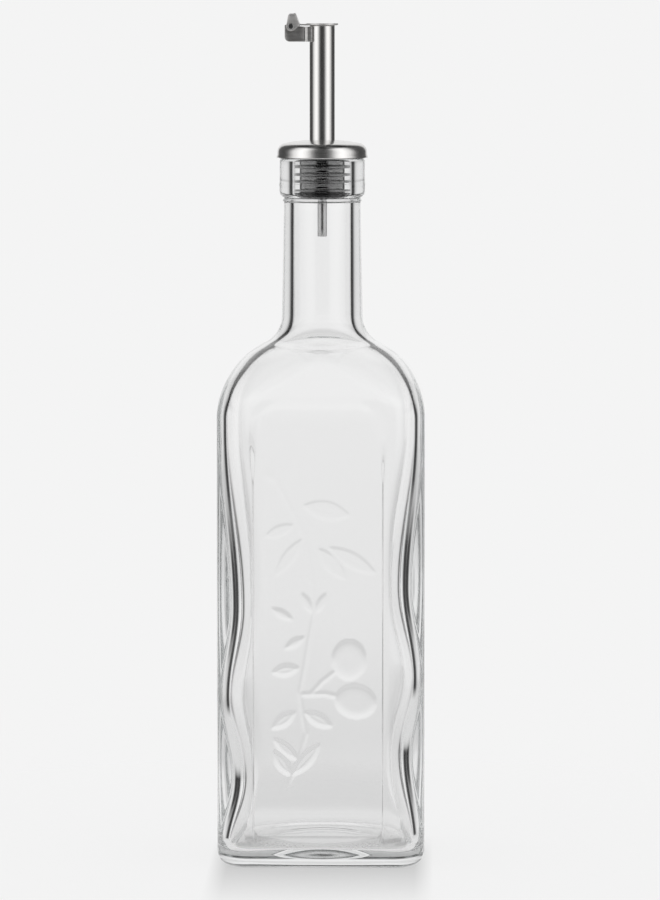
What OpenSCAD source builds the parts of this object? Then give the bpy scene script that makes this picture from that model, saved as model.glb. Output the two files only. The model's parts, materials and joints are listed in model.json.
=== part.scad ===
// Glass oil bottle with a steel pourer in its neck.
// The origin is the middle of the base, +Z is up, the panel with the olive sprig faces -Y,
// and the hinge of the pourer's lid is on the -X side of the spout.

/* [Bottle body] */
// Width of the square body across its flats
body_w = 66.5; // [63:0.5:72]
// Height at which the straight body ends and the shoulder starts
shoulder_z = 143.8; // [130:0.1:148]
// Radius of the shoulder's arc, seen from the front
shoulder_r = 25.2; // [23:0.1:27]
// Radius of the body's four upright corners
corner_r = 10.5; // [8:0.5:12]
// Radius of the rounding between the sides and the base
heel_r = 4.9; // [3:0.1:6]
// Thickness of the body's walls
wall_t = 3.3; // [2.6:0.1:3.8]
// Thickness of the glass in the middle of the base
base_t = 4.5; // [4:0.1:5.5]

/* [Panels] */
// Width of the sunk panels on the front and the two sides
panel_w = 41.2; // [34:0.2:44]
// Depth of the front panel
panel_depth = 0.6; // [0.4:0.1:0.8]
// Height of the olive sprig above the front panel
relief_h = 0.4; // [0.2:0.1:0.5]

/* [Base] */
// Diameter of the push-up under the base
pushup_d = 41; // [34:0.5:46]
// Height of the push-up
pushup_h = 3.5; // [2:0.1:4]

/* [Neck] */
// Height of the glass from the table to the mouth
glass_h = 226; // [218:0.5:240]
// Bore of the neck and the mouth
bore_d = 18.5; // [17.5:0.1:19.5]
// Outer diameter of the neck above the shoulder
neck_d = 26; // [25:0.1:27]
// Outer diameter of the neck under the finish
neck_top_d = 24.7; // [24:0.1:25.5]
// Radius of the curve between the neck and the shoulder
fillet_r = 9.5; // [6:0.1:11]
// Outer diameter of the finish, the thick ring round the mouth
finish_d = 27.6; // [27:0.1:28.6]
// Height of the finish
finish_h = 12.7; // [12:0.1:16]

/* [Stopper] */
// Length of the stopper inside the neck
plug_l = 12.9; // [12.5:0.1:15]
// Diameter of the stopper's core between its ribs
plug_d = 14.6; // [13.8:0.1:15.4]
// Number of sealing ribs
rib_n = 5; // [3:1:5]
// Thickness of a rib at its edge
rib_t = 0.8; // [0.6:0.1:1]

/* [Cap] */
// Outer diameter of the steel cap at its rim
cap_d = 29.4; // [29:0.1:31]
// Height of the cap from its rim to the spout
cap_h = 5.6; // [5:0.1:7]
// Thickness of the cap's sheet steel
cap_t = 0.5; // [0.4:0.1:0.6]

/* [Spout] */
// Outer diameter of the pouring tube
spout_d = 8.2; // [7.6:0.1:9]
// Wall of the pouring tube
spout_t = 0.4; // [0.3:0.1:0.5]
// Height of the pouring tube above the mouth of the bottle
spout_h = 42.5; // [36:0.1:50]
// Outer diameter of the vent tube
air_d = 3; // [2.6:0.1:3.4]
// Length of the vent tube below the mouth of the bottle
air_drop = 25.2; // [20:0.1:34]

/* [Lid] */
// Thickness of the lid's and the bracket's sheet steel
sheet_t = 0.5; // [0.4:0.05:0.55]
// Diameter of the lid's round flap
flap_d = 10.2; // [9.6:0.1:11]
// Distance from the spout's axis to the hinge pin
hinge_x = 10; // [9.6:0.1:10.4]
// Diameter of the hinge pin
pin_d = 1.2; // [1:0.1:1.3]

/* [Hidden] */
$fn = 64;
fine = 128;
finest = 256;
eps = 0.01;
over = 1;

half_w = body_w / 2;
bore_r = bore_d / 2;
neck_r = neck_d / 2;
finish_r = finish_d / 2;

// Rounded square sections: the flat left between two corners where a section is nearly round
least_flat = 0.4;
least_corner = 1;
corner_steps = 8;
heel_steps = 4;
shoulder_steps = 10;
arc_steps = 8;

// The shoulder's arc meets the neck's fillet at this angle above the horizontal
arc_x = half_w - shoulder_r;
fillet_x = neck_r + fillet_r;
meet = acos((fillet_x - arc_x) / (shoulder_r + fillet_r));
fillet_z = shoulder_z + (shoulder_r + fillet_r) * sin(meet);

// The same two arcs on the inside of the glass
inner_arc_r = shoulder_r - wall_t;
inner_fillet_r = fillet_x - bore_r;
inner_meet = acos((fillet_x - arc_x) / (inner_arc_r + inner_fillet_r));
inner_fillet_z = shoulder_z + (inner_arc_r + inner_fillet_r) * sin(inner_meet);
inner_heel_r = 3.5;

// The floor inside is a low dome that ends a little above the foot of the inner walls
floor_r = 222;
floor_z = pushup_h + base_t - floor_r;
inner_foot_z = 4.2;

// The exact neck stands on a faceted section that is this much wider than it
ledge = 0.1;

// Finish: chamfer under the ring, bead below it, rounding of the mouth
chamfer_h = 2.3;
chamfer_bulge = 0.5;
bead_h = 1.2;
bead_r = 0.35;
mouth_r = 1;

// The push-up is part of a sphere
pushup_r = (pow(pushup_d / 2, 2) + pow(pushup_h, 2)) / (2 * pushup_h);
pushup_z = pushup_h - pushup_r;

// Waves of the side panels: [share of the body's height, depth]. A depth below 0 is outside the glass.
wave_out = -0.3;
left_wave = [[0.03, wave_out], [0.2, 3.3], [0.38, 0.6], [0.58, 2.9], [0.98, wave_out]];
right_wave = [[0.04, wave_out], [0.25, 2.7], [0.42, 0.2], [0.63, 2.9], [0.98, wave_out]];
wave_steps = 34;

// Front panel, a little left of the middle: its round top runs out in the shoulder
panel_x = -0.7;
panel_z0 = 9;
panel_drop = 8;
panel_z1 = shoulder_z - panel_drop;
panel_corner = 3;

// Olive sprig: each leaf is [x, z, angle, length, width], from its root
leaves = [
    [-9.3, 30, 123, 10.4, 4],
    [-9.3, 30, 49, 14.5, 4.4],
    [-6.7, 35, 138, 11.5, 3.6],
    [-7.7, 51, 216, 9.8, 4],
    [-5.4, 51, -28, 10.8, 4.2],
    [-6.4, 65, 190, 9.4, 4],
    [-4.8, 75, 212, 7.9, 3],
    [-8.3, 80, 151, 8.7, 3],
    [-2.3, 82, 117, 8.3, 3],
    [-1.6, 82, 63, 8.3, 3],
    [-1, 103.7, -49, 14.5, 5.2],
    [1.9, 104, -29, 19, 5.2],
    [-5.1, 107, 234, 16.6, 4.4],
    [-7.7, 111, 203, 11.4, 4],
    [-6.1, 117, -12, 16.6, 6.2],
    [-13.7, 124, 139, 5.9, 2.8]
];
// Olives: [x, z, angle, length, width]
olives = [[9.2, 67.6, 90, 12.7, 10.8], [11.3, 54.3, -10, 13, 10.5]];
// Points along the stem
stem = [
    [-11.5, 24.5], [-9, 30], [-6.4, 37], [-4.5, 44], [-5.4, 49], [-6.5, 57], [-5, 65],
    [-3.5, 74], [-2, 82], [-2.3, 91.5], [-3.5, 99.5], [-5, 107], [-7.5, 112.5], [-13.7, 124]
];
stalks = [[[-6.4, 56.4], [1.6, 56.7], [5.7, 55.7]], [[-3, 56.5], [0.6, 60.5], [4.7, 63.7]]];
stem_w = 0.8;

// Cap: its rim stands just above the mouth, and a low crown rises from its rounded edge to the spout
cap_gap = 0.25;
cap_z = glass_h + cap_gap;
cap_round = 2.9;
cap_crown = 0.9;
cap_top = cap_z + cap_h;
crown_steps = 5;
edge_deg = 72;

// Stopper: fit in the bore, flange on the mouth inside the cap, web that carries the vent tube
rib_gap = 0.05;
rib_first = 2.2;
flange_r = cap_d / 2 - cap_t - cap_gap;
flange_h = 3;
flange_edge = 1.2;
web_t = 2.5;
hub_t = 1;
hub_r = air_d / 2 + hub_t;
web_n = 3;
web_w = 1.2;
tube_seat = plug_l - web_t;

// Tubes: the spout stands on the stopper's web, the vent tube ends inside the spout
spout_z0 = glass_h - tube_seat;
spout_z1 = glass_h + spout_h;
air_short = 7;
air_z1 = spout_z1 - air_short;
air_t = 0.3;

// Hinge: cheeks of the bracket inside the ears of the lid
pin_drop = 0.2;
pin_z = spout_z1 - pin_drop;
cheek_y = 2.5;
ear_gap = 0.15;
ear_y = cheek_y + sheet_t + ear_gap;
cheek_beyond = 2;
cheek_x0 = hinge_x + cheek_beyond;
cheek_corner = 1.6;
cheek_h = 4.8;
cheek_lobe = 1.5;
cheek_drop = 0.1;
cheek_top = pin_z - cheek_drop;

// Each cheek folds outward by fold_y before it reaches the saddle round the spout
fold_x = 5.4;
fold_l = 0.7;
fold_y = 0.5;
fold_end = 3.1;
saddle_deg = 88;
pin_fit = 0.05;
head_r = 0.95;
head_t = 0.35;
head_gap = 0.05;

// Lid: flap with a shallow dish, arm, ears and thumb lever
lid_gap = 0.06;
lid_z = spout_z1 + lid_gap;
dish_r = 24;
lever_foot = 2.7;
lever_head = 1.4;
lever_h = 4.1;
lever_x0 = hinge_x - lever_foot;
lever_x1 = hinge_x - lever_head;
lever_z = pin_z + lever_h;
ear_r = 1.5;
ear_top = 0.9;
arm_end = 3;

function smooth(t) = t * t * (3 - 2 * t);

// One section of the body: a rounded square of half width a and corner radius r at height z
function section(a, r, z) =
    let (c = min(r, a - least_flat))
    [for (k = [0:3], j = [0:corner_steps])
        let (
            q = 45 + 90 * k,
            w = 90 * k + 90 * j / corner_steps
        )
        [
            (a - c) * sign(cos(q)) + c * cos(w),
            (a - c) * sign(sin(q)) + c * sin(w),
            z
        ]
    ];

// Sections from the flat of the base to the top of the shoulder, moved in by t
function body_sections(t, foot_z, foot_r, arc_r, top_angle, widen) = [
    for (j = [0:heel_steps])
        let (w = 90 * j / heel_steps)
        section(
            half_w - t - foot_r * (1 - sin(w)),
            max(corner_r - t - foot_r * (1 - sin(w)), least_corner),
            foot_z + foot_r * (1 - cos(w))
        ),
    for (j = [0:shoulder_steps])
        let (
            w = top_angle * j / shoulder_steps,
            a = arc_x + arc_r * cos(w),
            flat = (corner_r - t) / (half_w - t)
        )
        section(
            a + widen * j / shoulder_steps,
            a * (flat + (1 - flat) * smooth(j / shoulder_steps)),
            shoulder_z + arc_r * sin(w)
        )
];

// Depth of a side panel's wave at height z
function wave_depth(wave, z, i = 0) =
    i >= len(wave) - 2 || z <= wave[i + 1][0] * shoulder_z
        ? let (
            z0 = wave[i][0] * shoulder_z,
            z1 = wave[i + 1][0] * shoulder_z,
            t = (z - z0) / (z1 - z0)
        )
        wave[i][1] + (wave[i + 1][1] - wave[i][1]) * (1 - cos(180 * t)) / 2
        : wave_depth(wave, z, i + 1);

// Points of a circle's arc in the plane of a profile
function arc(x, z, r, from, to) = [
    for (j = [0:arc_steps])
        let (w = from + (to - from) * j / arc_steps)
        [x + r * cos(w), z + r * sin(w)]
];

// A closed solid through sections that all have the same number of points
module loft(sections) {
    n = len(sections[0]);
    last = (len(sections) - 1) * n;
    polyhedron(
        points = [for (s = sections) each s],
        faces = concat(
            [[for (i = [0:n - 1]) i]],
            [for (k = [0:len(sections) - 2], i = [0:n - 1])
                let (u = k * n + i, v = k * n + (i + 1) % n)
                [u, u + n, v]
            ],
            [for (k = [0:len(sections) - 2], i = [0:n - 1])
                let (u = k * n + i, v = k * n + (i + 1) % n)
                [v, u + n, v + n]
            ],
            [[for (i = [n - 1:-1:0]) last + i]]
        )
    );
}

// Everything beyond a side panel's waved face, moved in by t, as a block w wide
module beyond_wave(wave, t, w) {
    z0 = wave[0][0] * shoulder_z;
    z1 = wave[len(wave) - 1][0] * shoulder_z;
    face = [
        for (j = [0:wave_steps])
            let (z = z0 + (z1 - z0) * j / wave_steps)
            [half_w - t - wave_depth(wave, z), z]
    ];
    rotate([90, 0, 0])
        linear_extrude(w, center = true)
            polygon(concat(face, [[half_w + over, z1], [half_w + over, z0]]));
}

module both_waves(t, w) {
    beyond_wave(right_wave, t, w);
    mirror([1, 0, 0])
        beyond_wave(left_wave, t, w);
}

module neck_outside() {
    chamfer_z = glass_h - finish_h;
    rotate_extrude()
        polygon(concat(
            [[0, shoulder_z + shoulder_r * sin(meet)]],
            arc(fillet_x, fillet_z, fillet_r, 180 + meet, 180),
            [
                [neck_top_d / 2, chamfer_z - bead_h],
                [neck_top_d / 2 + bead_r, chamfer_z - bead_h / 2],
                [neck_top_d / 2, chamfer_z],
                [finish_r - chamfer_bulge, chamfer_z + chamfer_h / 2],
                [finish_r, chamfer_z + chamfer_h],
                [finish_r, glass_h - mouth_r]
            ],
            arc(finish_r - mouth_r, glass_h - mouth_r, mouth_r, 0, 90),
            [[0, glass_h]]
        ));
}

module neck_inside() {
    rotate_extrude()
        polygon(concat(
            [[0, shoulder_z + inner_arc_r * sin(inner_meet)]],
            arc(fillet_x, inner_fillet_z, inner_fillet_r, 180 + inner_meet, 180),
            [
                [bore_r, glass_h - mouth_r],
                [bore_r + mouth_r, glass_h],
                [bore_r + mouth_r, glass_h + over],
                [0, glass_h + over]
            ]
        ));
}

// The space inside the glass
module cavity() {
    difference() {
        loft(body_sections(wall_t, inner_foot_z, inner_heel_r, inner_arc_r, inner_meet, ledge));
        both_waves(wall_t, body_w);
        translate([0, 0, floor_z])
            sphere(floor_r, $fn = finest);
    }
    neck_inside();
}

// A leaf with pointed ends, from its root along +X
module leaf(l, w) {
    r = (l * l + w * w) / (4 * w);
    intersection() {
        translate([l / 2, r - w / 2])
            circle(r);
        translate([l / 2, w / 2 - r])
            circle(r);
    }
}

module strip(line) {
    for (i = [0:len(line) - 2]) {
        d = line[i + 1] - line[i];
        translate(line[i])
            rotate(atan2(d[1], d[0]))
                translate([0, -stem_w / 2])
                    square([norm(d), stem_w]);
    }
}

module sprig() {
    strip(stem);
    for (s = stalks) strip(s);
    for (f = leaves)
        translate([f[0], f[1]])
            rotate(f[2])
                leaf(f[3], f[4]);
    for (o = olives)
        translate([o[0], o[1]])
            rotate(o[2])
                scale([o[3] / o[4], 1])
                    circle(o[4] / 2);
}

module panel_outline() {
    w = panel_w / 2 - panel_corner;
    hull() {
        for (x = [-w, w])
            translate([x, panel_z0 + panel_corner])
                circle(panel_corner);
        translate([0, panel_z1])
            circle(panel_w / 2, $fn = fine);
    }
}

// Sinks the front panel and leaves the sprig standing in it
module front_panel_cut() {
    translate([panel_x, -half_w + panel_depth, 0])
        rotate([90, 0, 0])
            linear_extrude(panel_depth + over)
                panel_outline();
}

module front_sprig() {
    translate([0, -half_w + panel_depth + eps, 0])
        rotate([90, 0, 0])
            linear_extrude(relief_h + eps)
                sprig();
}

module bottle() {
    color([0.86, 0.9, 0.89, 0.35])
        difference() {
            union() {
                difference() {
                    union() {
                        loft(body_sections(0, 0, heel_r, shoulder_r, meet, ledge));
                        neck_outside();
                    }
                    both_waves(0, panel_w);
                    front_panel_cut();
                    translate([0, 0, pushup_z])
                        sphere(pushup_r);
                }
                front_sprig();
            }
            cavity();
        }
}

module stopper() {
    pitch = (plug_l - rib_first - rib_t) / (rib_n - 1);
    color([0.1, 0.1, 0.11])
        difference() {
            union() {
                translate([0, 0, glass_h])
                    cylinder(h = flange_h - flange_edge, r = flange_r);
                translate([0, 0, glass_h + flange_h - flange_edge])
                    cylinder(h = flange_edge, r1 = flange_r, r2 = flange_r - flange_edge);
                translate([0, 0, glass_h - plug_l])
                    cylinder(h = plug_l, d = plug_d);
                for (i = [0:rib_n - 1])
                    translate([0, 0, glass_h - rib_first - rib_t - i * pitch])
                        cylinder(h = rib_t, r = bore_r - rib_gap);
            }
            translate([0, 0, spout_z0])
                cylinder(h = plug_l + flange_h, d = spout_d);
            difference() {
                translate([0, 0, glass_h - plug_l - over])
                    cylinder(h = web_t + over + eps, d = spout_d - 2 * spout_t);
                translate([0, 0, glass_h - plug_l])
                    stopper_web();
            }
            translate([0, 0, glass_h - plug_l - over])
                cylinder(h = web_t + 2 * over, d = air_d);
        }
}

// Hub and spokes that hold the vent tube in the middle of the flow
module stopper_web() {
    cylinder(h = web_t, r = hub_r);
    for (i = [0:web_n - 1])
        rotate(i * 360 / web_n)
            translate([0, -web_w / 2, 0])
                cube([spout_d, web_w, web_t]);
}

// Points of the crown from the cap's rounded edge in to the spout, moved down by t
function crown(t) =
    let (
        r0 = spout_d / 2,
        r1 = cap_d / 2 - cap_round
    )
    [for (j = [crown_steps:-1:0])
        let (u = j / crown_steps)
        [r0 + (r1 - r0) * u, cap_top - t - cap_crown * u * u]
    ];

module cap() {
    r = cap_d / 2;
    x = r - cap_round;
    z = cap_top - cap_crown - cap_round;
    inside = concat(arc(x, z, cap_round - cap_t, 0, edge_deg), crown(cap_t));
    color([0.75, 0.75, 0.75])
        rotate_extrude()
            polygon(concat(
                [[r - cap_t, cap_z], [r, cap_z]],
                arc(x, z, cap_round, 0, edge_deg),
                crown(0),
                [for (i = [len(inside) - 1:-1:0]) inside[i]]
            ));
}

module tube(z0, z1, d, t) {
    translate([0, 0, z0])
        difference() {
            cylinder(h = z1 - z0, d = d);
            translate([0, 0, -over])
                cylinder(h = z1 - z0 + 2 * over, d = d - 2 * t);
        }
}

module spout_tube() {
    color([0.78, 0.78, 0.78])
        tube(spout_z0, spout_z1, spout_d, spout_t);
}

module air_tube() {
    color([0.78, 0.78, 0.78])
        tube(glass_h - air_drop, air_z1, air_d, air_t);
}

// A cylinder along Y through the hinge
module across(r, y0, y1) {
    translate([-hinge_x, y1, pin_z])
        rotate([90, 0, 0])
            cylinder(h = y1 - y0, r = r);
}

// One cheek of the bracket, in the plane of the hinge: X towards the spout, Y up
module cheek_outline() {
    corner = cheek_corner;
    difference() {
        union() {
            translate([-cheek_x0 + corner, cheek_top - cheek_h])
                square([cheek_x0 - corner - cheek_y, cheek_h]);
            translate([-cheek_x0, cheek_top - cheek_h + corner])
                square([corner + eps, cheek_h - corner]);
            translate([-cheek_x0 + corner, cheek_top - cheek_h + corner])
                circle(corner);
            translate([-hinge_x, pin_z])
                circle(cheek_lobe);
        }
        translate([-hinge_x, pin_z])
            circle(pin_d / 2);
    }
}

// The same cheek seen from above, with the fold outward that takes it round the spout
module cheek_plan() {
    y = cheek_y;
    t = sheet_t;
    polygon([
        [-cheek_x0 - over, y],
        [-fold_x, y],
        [-fold_x + fold_l, y + fold_y],
        [-fold_end, y + fold_y],
        [-fold_end, y + fold_y + t],
        [-fold_x + fold_l - t / 2, y + fold_y + t],
        [-fold_x - t / 2, y + t],
        [-cheek_x0 - over, y + t]
    ]);
}

module cheek() {
    intersection() {
        translate([0, 0, cheek_top - cheek_h - over])
            linear_extrude(cheek_h + cheek_lobe + 2 * over)
                cheek_plan();
        translate([0, cheek_y + fold_y + sheet_t + over, 0])
            rotate([90, 0, 0])
                linear_extrude(fold_y + sheet_t + 2 * over)
                    cheek_outline();
    }
}

module hinge_bracket() {
    r = spout_d / 2;
    color([0.55, 0.55, 0.55])
        difference() {
            union() {
                cheek();
                mirror([0, 1, 0])
                    cheek();
                translate([0, 0, cheek_top - cheek_h])
                    rotate(180 - saddle_deg / 2)
                        rotate_extrude(angle = saddle_deg)
                            translate([r, 0])
                                square([sheet_t, cheek_h]);
            }
            translate([0, 0, cheek_top - cheek_h - over])
                cylinder(h = cheek_h + 2 * over, r = r);
        }
}

module hinge_pin() {
    y = ear_y + sheet_t + head_gap;
    color([0.45, 0.45, 0.45]) {
        across(pin_d / 2, -y - head_t, y + head_t);
        across(head_r, -y - head_t, -y);
        across(head_r, y, y + head_t);
    }
}

// Dished round flap on the spout's mouth
module flap() {
    rise = dish_r - sqrt(pow(dish_r, 2) - pow(spout_d / 2, 2));
    translate([0, 0, lid_z - rise + dish_r])
        intersection() {
            difference() {
                sphere(dish_r, $fn = fine);
                sphere(dish_r - sheet_t, $fn = fine);
            }
            translate([0, 0, -dish_r - over])
                cylinder(h = dish_r, d = flap_d);
        }
}

// Side view of the thumb lever, from the bend at the arm's end
module lever_outline() {
    polygon([
        [-lever_x0 + sheet_t, lid_z],
        [-lever_x0 + sheet_t / 2, lid_z + sheet_t],
        [-lever_x1, lever_z],
        [-lever_x1 - sheet_t, lever_z],
        [-lever_x0 - sheet_t, lid_z + sheet_t],
        [-lever_x0 - sheet_t / 2, lid_z]
    ]);
}

module ear_outline() {
    difference() {
        union() {
            polygon([
                [-hinge_x - ear_r, pin_z],
                [-hinge_x - ear_top, lever_z],
                [-lever_x1, lever_z],
                [-lever_x0, lid_z + sheet_t],
                [-lever_x0, lid_z],
                [-hinge_x, pin_z - ear_r]
            ]);
            translate([-hinge_x, pin_z])
                circle(ear_r);
        }
        translate([-hinge_x, pin_z])
            circle(pin_d / 2 + pin_fit);
    }
}

module upright(y, t) {
    translate([0, y + t / 2, 0])
        rotate([90, 0, 0])
            linear_extrude(t)
                children();
}

module lid() {
    arm_w = 2 * (ear_y + sheet_t);
    color([0.72, 0.72, 0.72])
        union() {
            flap();
            translate([-lever_x0, -arm_w / 2, lid_z])
                cube([lever_x0 - arm_end, arm_w, sheet_t]);
            upright(0, arm_w)
                lever_outline();
            for (s = [-1, 1])
                upright(s * (ear_y + sheet_t / 2), sheet_t)
                    ear_outline();
        }
}

bottle();
stopper();
cap();
spout_tube();
air_tube();
hinge_bracket();
hinge_pin();
lid();
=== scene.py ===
"""Glass oil bottle with a steel pourer: the looks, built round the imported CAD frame, in metres."""

import json
import math

import bmesh
import bpy
import numpy as np
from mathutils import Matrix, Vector


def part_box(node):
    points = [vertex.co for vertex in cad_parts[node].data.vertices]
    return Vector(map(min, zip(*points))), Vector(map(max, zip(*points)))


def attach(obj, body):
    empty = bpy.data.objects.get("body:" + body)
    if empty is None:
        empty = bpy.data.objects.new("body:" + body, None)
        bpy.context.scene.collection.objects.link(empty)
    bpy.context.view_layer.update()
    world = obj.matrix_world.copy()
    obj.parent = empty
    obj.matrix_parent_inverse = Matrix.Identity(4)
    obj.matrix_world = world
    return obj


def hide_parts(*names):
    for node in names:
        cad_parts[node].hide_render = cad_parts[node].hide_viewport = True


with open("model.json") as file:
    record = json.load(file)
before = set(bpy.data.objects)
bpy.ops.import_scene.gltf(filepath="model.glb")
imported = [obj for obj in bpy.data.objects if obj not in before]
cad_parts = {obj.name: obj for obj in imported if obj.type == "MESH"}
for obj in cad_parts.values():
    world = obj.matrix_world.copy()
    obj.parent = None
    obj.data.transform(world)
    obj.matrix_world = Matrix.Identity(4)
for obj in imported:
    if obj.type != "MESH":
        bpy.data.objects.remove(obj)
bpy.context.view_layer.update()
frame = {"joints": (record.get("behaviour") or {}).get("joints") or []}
MM = 0.001

# ---------------------------------------------------------------- sizes, read from the frame
GLASS_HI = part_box("bottle")[1]
CAP_LO, CAP_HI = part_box("cap")
SPOUT_LO, SPOUT_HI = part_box("spout_tube")
AIR_LO, AIR_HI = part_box("air_tube")
PLUG_LO, PLUG_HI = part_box("stopper")
BRACKET_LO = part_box("hinge_bracket")[0]
PIN_LO, PIN_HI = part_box("hinge_pin")
LID_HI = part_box("lid")[1]

HALF_W = GLASS_HI.x
GLASS_H = GLASS_HI.z
CAP_R = CAP_HI.x
SPOUT_R = SPOUT_HI.x
AIR_R = AIR_HI.x
HINGE = [j for j in frame["joints"] if j["name"] == "lid_hinge"][0]
PIN_X, PIN_Z = HINGE["pos_m"][0], HINGE["pos_m"][2]

# ---------------------------------------------------------------- the bottle's own shape
SHOULDER_Z = 143.8 * MM
SHOULDER_R = 25.2 * MM
CORNER_R = 10.5 * MM
HEEL_R = 4.9 * MM
WALL = 3.3 * MM
BASE_T = 4.5 * MM
FLOOR_R = 222 * MM
PANEL_X = -0.7 * MM
PANEL_HALF = 20.6 * MM
PANEL_DEPTH = 0.6 * MM
PANEL_STEP = 0.14 * MM
PANEL_Z = (9 * MM, SHOULDER_Z - 8 * MM)
PANEL_CORNER = 3 * MM
PUSHUP_R = 20.5 * MM
PUSHUP_H = 3.5 * MM
BORE_R = 9.25 * MM
NECK_R = 13 * MM
NECK_TOP_R = 12.35 * MM
FILLET_R = 9.5 * MM
FINISH_R = 13.8 * MM
FINISH_H = 12.7 * MM
CHAMFER_H = 2.3 * MM
MOUTH_R = 1 * MM
FLOOR_EDGE = 4.4 * MM
FLOOR_HEEL = 4.2 * MM
FLOOR_CORNER = 2.2 * MM
FLOOR_TOP = 12 * MM
FLOOR_BLEND = 0.35 * MM
WALL_SWELL = 0.2 * MM
BEAD_R = 0.45 * MM
SEAM_DROP = 8.3 * MM
SEAM_H = 0.09 * MM
RIPPLE = 0.07 * MM

LEFT_WAVE = [(0.03, 0), (0.2, 3.3), (0.38, 0.6), (0.58, 2.9), (0.98, 0)]
RIGHT_WAVE = [(0.04, 0), (0.25, 2.7), (0.42, 0.2), (0.63, 2.9), (0.98, 0)]

# The olive sprig, in millimetres on the front panel: each leaf is (x, z, angle, length, width) from its
# root, and each olive the same from its middle
LEAVES = [
    (-9.3, 30, 123, 10.4, 4),
    (-9.3, 30, 49, 14.5, 4.4),
    (-6.7, 35, 138, 11.5, 3.6),
    (-7.7, 51, 216, 9.8, 4),
    (-5.4, 51, -28, 10.8, 4.2),
    (-6.4, 65, 190, 9.4, 4),
    (-4.8, 75, 212, 7.9, 3),
    (-8.3, 80, 151, 8.7, 3),
    (-2.3, 82, 117, 8.3, 3),
    (-1.6, 82, 63, 8.3, 3),
    (-1, 103.7, -49, 14.5, 5.2),
    (1.9, 104, -29, 19, 5.2),
    (-5.1, 107, 234, 16.6, 4.4),
    (-7.7, 111, 203, 11.4, 4),
    (-6.1, 117, -12, 16.6, 6.2),
    (-13.7, 124, 139, 5.9, 2.8),
]
OLIVES = [(9.2, 67.6, 90, 12.7, 10.8), (11.3, 54.3, -10, 13, 10.5)]
STEM = [
    (-11.5, 24.5), (-9, 30), (-6.4, 37), (-4.5, 44), (-5.4, 49), (-6.5, 57), (-5, 65),
    (-3.5, 74), (-2, 82), (-2.3, 91.5), (-3.5, 99.5), (-5, 107), (-7.5, 112.5), (-13.7, 124),
]
STALKS = [[(-6.4, 56.4), (1.6, 56.7), (5.7, 55.7)], [(-3, 56.5), (0.6, 60.5), (4.7, 63.7)]]

# Heights of the relief in millimetres, and the share that is worn away in its faint upper half
STEM_H = 0.15
LEAF_H = 0.23
LEAF_DOME = 0.1
VEIN_H = 0.06
OLIVE_H = 0.36
WORN = 0.6


def smooth(lo, hi, x):
    """0 below lo, 1 above hi, and a smooth step between them."""
    t = np.clip((x - lo) / (hi - lo), 0, 1)
    return t * t * (3 - 2 * t)


def arc(x, z, r, start, end, n):
    """Points of an arc in a profile's plane, angles in degrees."""
    w = np.radians(np.linspace(start, end, n + 1))
    return np.stack([x + r * np.cos(w), z + r * np.sin(w)], axis=1)


def wave(shape, z):
    """Depth of a side panel at height z: half cosines between the wave's turning points."""
    depth = np.zeros_like(z)
    for (z0, d0), (z1, d1) in zip(shape, shape[1:]):
        t = (z / SHOULDER_Z - z0) / (z1 - z0)
        inside = (t >= 0) & (t <= 1)
        depth[inside] = (d0 + (d1 - d0) * (1 - np.cos(np.pi * t[inside])) / 2) * MM
    return depth


def to_line(x, z, line):
    """Distance of each point from a polyline, in millimetres."""
    best = np.full_like(x, 1e9)
    for (x0, z0), (x1, z1) in zip(line, line[1:]):
        dx, dz = x1 - x0, z1 - z0
        t = np.clip(((x - x0) * dx + (z - z0) * dz) / (dx * dx + dz * dz), 0, 1)
        best = np.minimum(best, np.hypot(x - x0 - t * dx, z - z0 - t * dz))
    return best


def sprig(x, z):
    """Height of the olive sprig over the front panel, in metres, at points given in metres."""
    x, z = x / MM, z / MM
    height = np.zeros_like(x)
    for line in [STEM, *STALKS]:
        strip = 1 - smooth(0.1, 0.95, to_line(x, z, line))
        height = np.maximum(height, STEM_H * strip * smooth(23, 33, z))
    for x0, z0, angle, length, width in LEAVES:
        w = math.radians(angle)
        s = (x - x0) * math.cos(w) + (z - z0) * math.sin(w)
        t = -(x - x0) * math.sin(w) + (z - z0) * math.cos(w)
        u = np.clip(s / length, 0, 1)
        half = width * 1.15 * 2 * u * (1 - u)
        inside = (half - np.abs(t)) * ((s > 0) & (s < length))
        dome = LEAF_DOME * (1 - np.clip(np.abs(t) / np.maximum(half, 0.05), 0, 1) ** 2)
        vein = VEIN_H * np.exp(-((t / 0.4) ** 2)) * smooth(0.05, 0.25, u) * (1 - smooth(0.75, 0.95, u))
        height = np.maximum(height, smooth(0, 1.2, inside) * (LEAF_H + dome - vein))
    for x0, z0, angle, length, width in OLIVES:
        w = math.radians(angle)
        s = ((x - x0) * math.cos(w) + (z - z0) * math.sin(w)) / (length / 2)
        t = (-(x - x0) * math.sin(w) + (z - z0) * math.cos(w)) / (width / 2)
        rim = np.clip(1 - np.hypot(s, t) ** 7, 0, 1)
        height = np.maximum(height, OLIVE_H * np.sqrt(rim))
    return height * (1 - WORN * smooth(68, 98, z)) * MM


def panel(x, z):
    """1 inside the front panel, which has a half round top that runs out softly, and 0 outside it."""
    low, high = PANEL_Z
    x = x - PANEL_X
    corner = PANEL_HALF - PANEL_CORNER
    foot = np.hypot(np.maximum(np.abs(x) - corner, 0), np.maximum(low + PANEL_CORNER - z, 0)) - PANEL_CORNER
    top = np.hypot(x, np.maximum(z - high, 0)) - PANEL_HALF
    step = PANEL_STEP + 2.5 * MM * smooth(high - 14 * MM, high + 8 * MM, z)
    return 1 - smooth(-step, step, np.maximum(foot, top))


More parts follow.
